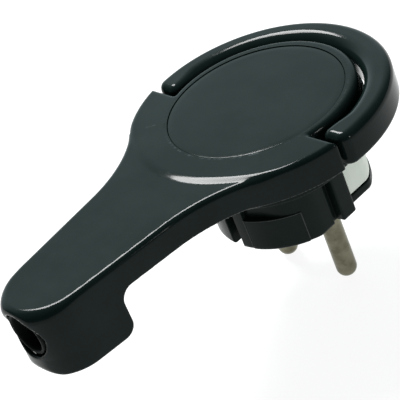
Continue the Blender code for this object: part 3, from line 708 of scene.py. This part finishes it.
def seat_profile():
    """The casing's lip round the cover disc."""
    outer, lip_z = SEAT_R + LIP_WIDTH, TOP_Z - LIP_RISE / 4
    return [(SEAT_R, SEAT_Z), (outer, SEAT_Z), (outer, lip_z), (SEAT_R, lip_z)]


# Moulded shells of the plug: node, shape and grid cell in millimetres.
SHELLS = (("top_cover", top_cover, 0.42), ("arm_floor", arm_floor, 0.45),
          ("base_housing", base_housing, 0.36), ("face_plate", face_plate, 0.36),
          ("contact_carrier", contact_carrier, 0.36), ("entry_bush", entry_bush, 0.36),
          ("contact_pin_left", pin_on(-1), 0.3), ("contact_pin_right", pin_on(1), 0.3))
BAIL_CELL = 0.38


def build_shells():
    for node, shape, cell in SHELLS:
        stand_for(node, mould(node + "_moulded", shape, *box_mm(node), cell))
    stand_for("pull_bail", mould("pull_bail_moulded", pull_bail, BAIL_LOW, BAIL_HIGH, BAIL_CELL), "bail")
    stand_for("cover_disc", turned("cover_disc_turned", disc_profile(), DISC_Y))
    stand_for("top_cover", turned("top_cover_lip", seat_profile(), DISC_Y))
    panel_bead()


# ---------------------------------------------------------------- light, floor and camera

GLOW_FROM = (-0.72, 0.42, 0.38)
GLOW_STRENGTH = 1.35
KEY = ((-0.48, 0.165, 0.75), 0.30, 0.34, 15.5)  # place, width, height and power
RIM = ((0.74, 0.20, 0.29), 0.12, 0.20, 1.2)
FLOOR_REACH = 3.0
FLOOR_GLOW = 0.90


def world_light():
    """A dim studio with one broad soft glow behind the object."""
    world = bpy.data.worlds.new("studio")
    bpy.context.scene.world = world
    world.use_nodes = True
    tree = world.node_tree
    where = tree.nodes.new("ShaderNodeTexCoord")
    aim = tree.nodes.new("ShaderNodeVectorMath")
    aim.operation = "DOT_PRODUCT"
    aim.inputs[1].default_value = Vector(GLOW_FROM).normalized()
    shade = tree.nodes.new("ShaderNodeValToRGB")
    tree.links.new(where.outputs["Generated"], aim.inputs[0])
    tree.links.new(aim.outputs["Value"], shade.inputs["Fac"])
    stops = shade.color_ramp.elements
    stops[0].position, stops[0].color = 0.55, (0.07, 0.08, 0.08, 1.0)
    stops[1].position, stops[1].color = 0.95, (0.84, 0.97, 1.0, 1.0)
    tree.links.new(shade.outputs["Color"], tree.nodes["Background"].inputs["Color"])
    tree.nodes["Background"].inputs["Strength"].default_value = GLOW_STRENGTH


def soft_box(name, place, width, height, power):
    """A rectangular light turned to the origin."""
    lamp = bpy.data.lights.new(name, "AREA")
    lamp.shape = "RECTANGLE"
    lamp.size, lamp.size_y = width, height
    lamp.energy = power
    made = bpy.data.objects.new(name, lamp)
    made.location = place
    made.rotation_euler = (-Vector(place)).to_track_quat("-Z", "Y").to_euler()
    bpy.context.scene.collection.objects.link(made)


def floor():
    mesh = bpy.data.meshes.new("floor")
    r, low = FLOOR_REACH, CAD_BOX[0].z
    mesh.from_pydata([(-r, -r, low), (r, -r, low), (r, r, low), (-r, r, low)], [], [(0, 1, 2, 3)])
    made = bpy.data.objects.new("floor", mesh)
    bpy.context.scene.collection.objects.link(made)
    paint, tree, shader = shader_nodes("pale_floor")
    tree.links.new(ramp(tree, noise(tree, 4.0, 3.0), (0.17, 0.17, 0.17), (0.19, 0.19, 0.19)),
                   shader.inputs["Base Color"])
    shader.inputs["Roughness"].default_value = 0.9
    shader.inputs["Emission Color"].default_value = (1.0, 1.0, 1.0, 1.0)
    shader.inputs["Emission Strength"].default_value = FLOOR_GLOW
    mesh.materials.append(paint)


def camera():
    """A long lens, looking down on the arm's side, rolled so that the arm hangs to the lower left."""
    lens = bpy.data.cameras.new("camera")
    lens.sensor_width = 36.0
    lens.lens = LENS_MM
    lens.clip_start, lens.clip_end = 0.01, 20.0
    made = bpy.data.objects.new("camera", lens)
    made.matrix_world = Matrix.Translation(CAMERA_PLACE) @ CAMERA_TURN
    bpy.context.scene.collection.objects.link(made)
    bpy.context.scene.camera = made


CAMERA_AZIMUTH = 59.14
CAMERA_ELEVATION = 33.33
CAMERA_ROLL = 23.03
CAMERA_DISTANCE = 0.37494
CAMERA_AIM = Vector((-0.01369, -0.01477, 0.00635))
LENS_MM = 150.87


def camera_frame():
    """Where the camera stands and how it is turned."""
    across, up = math.radians(CAMERA_AZIMUTH), math.radians(CAMERA_ELEVATION)
    back = Vector((math.sin(across) * math.cos(up), -math.cos(across) * math.cos(up), math.sin(up)))
    turn = back.to_track_quat("Z", "Y").to_matrix().to_4x4()
    roll = Matrix.Rotation(math.radians(-CAMERA_ROLL), 4, "Z")
    return CAMERA_AIM + back * CAMERA_DISTANCE, turn @ roll


CAMERA_PLACE, CAMERA_TURN = camera_frame()


def main():
    dress_frame()
    build_shells()
    world_light()
    floor()
    camera()
    soft_box("key", *KEY)
    soft_box("rim", *RIM)


bpy.context.scene.view_settings.view_transform = "Standard"
main()
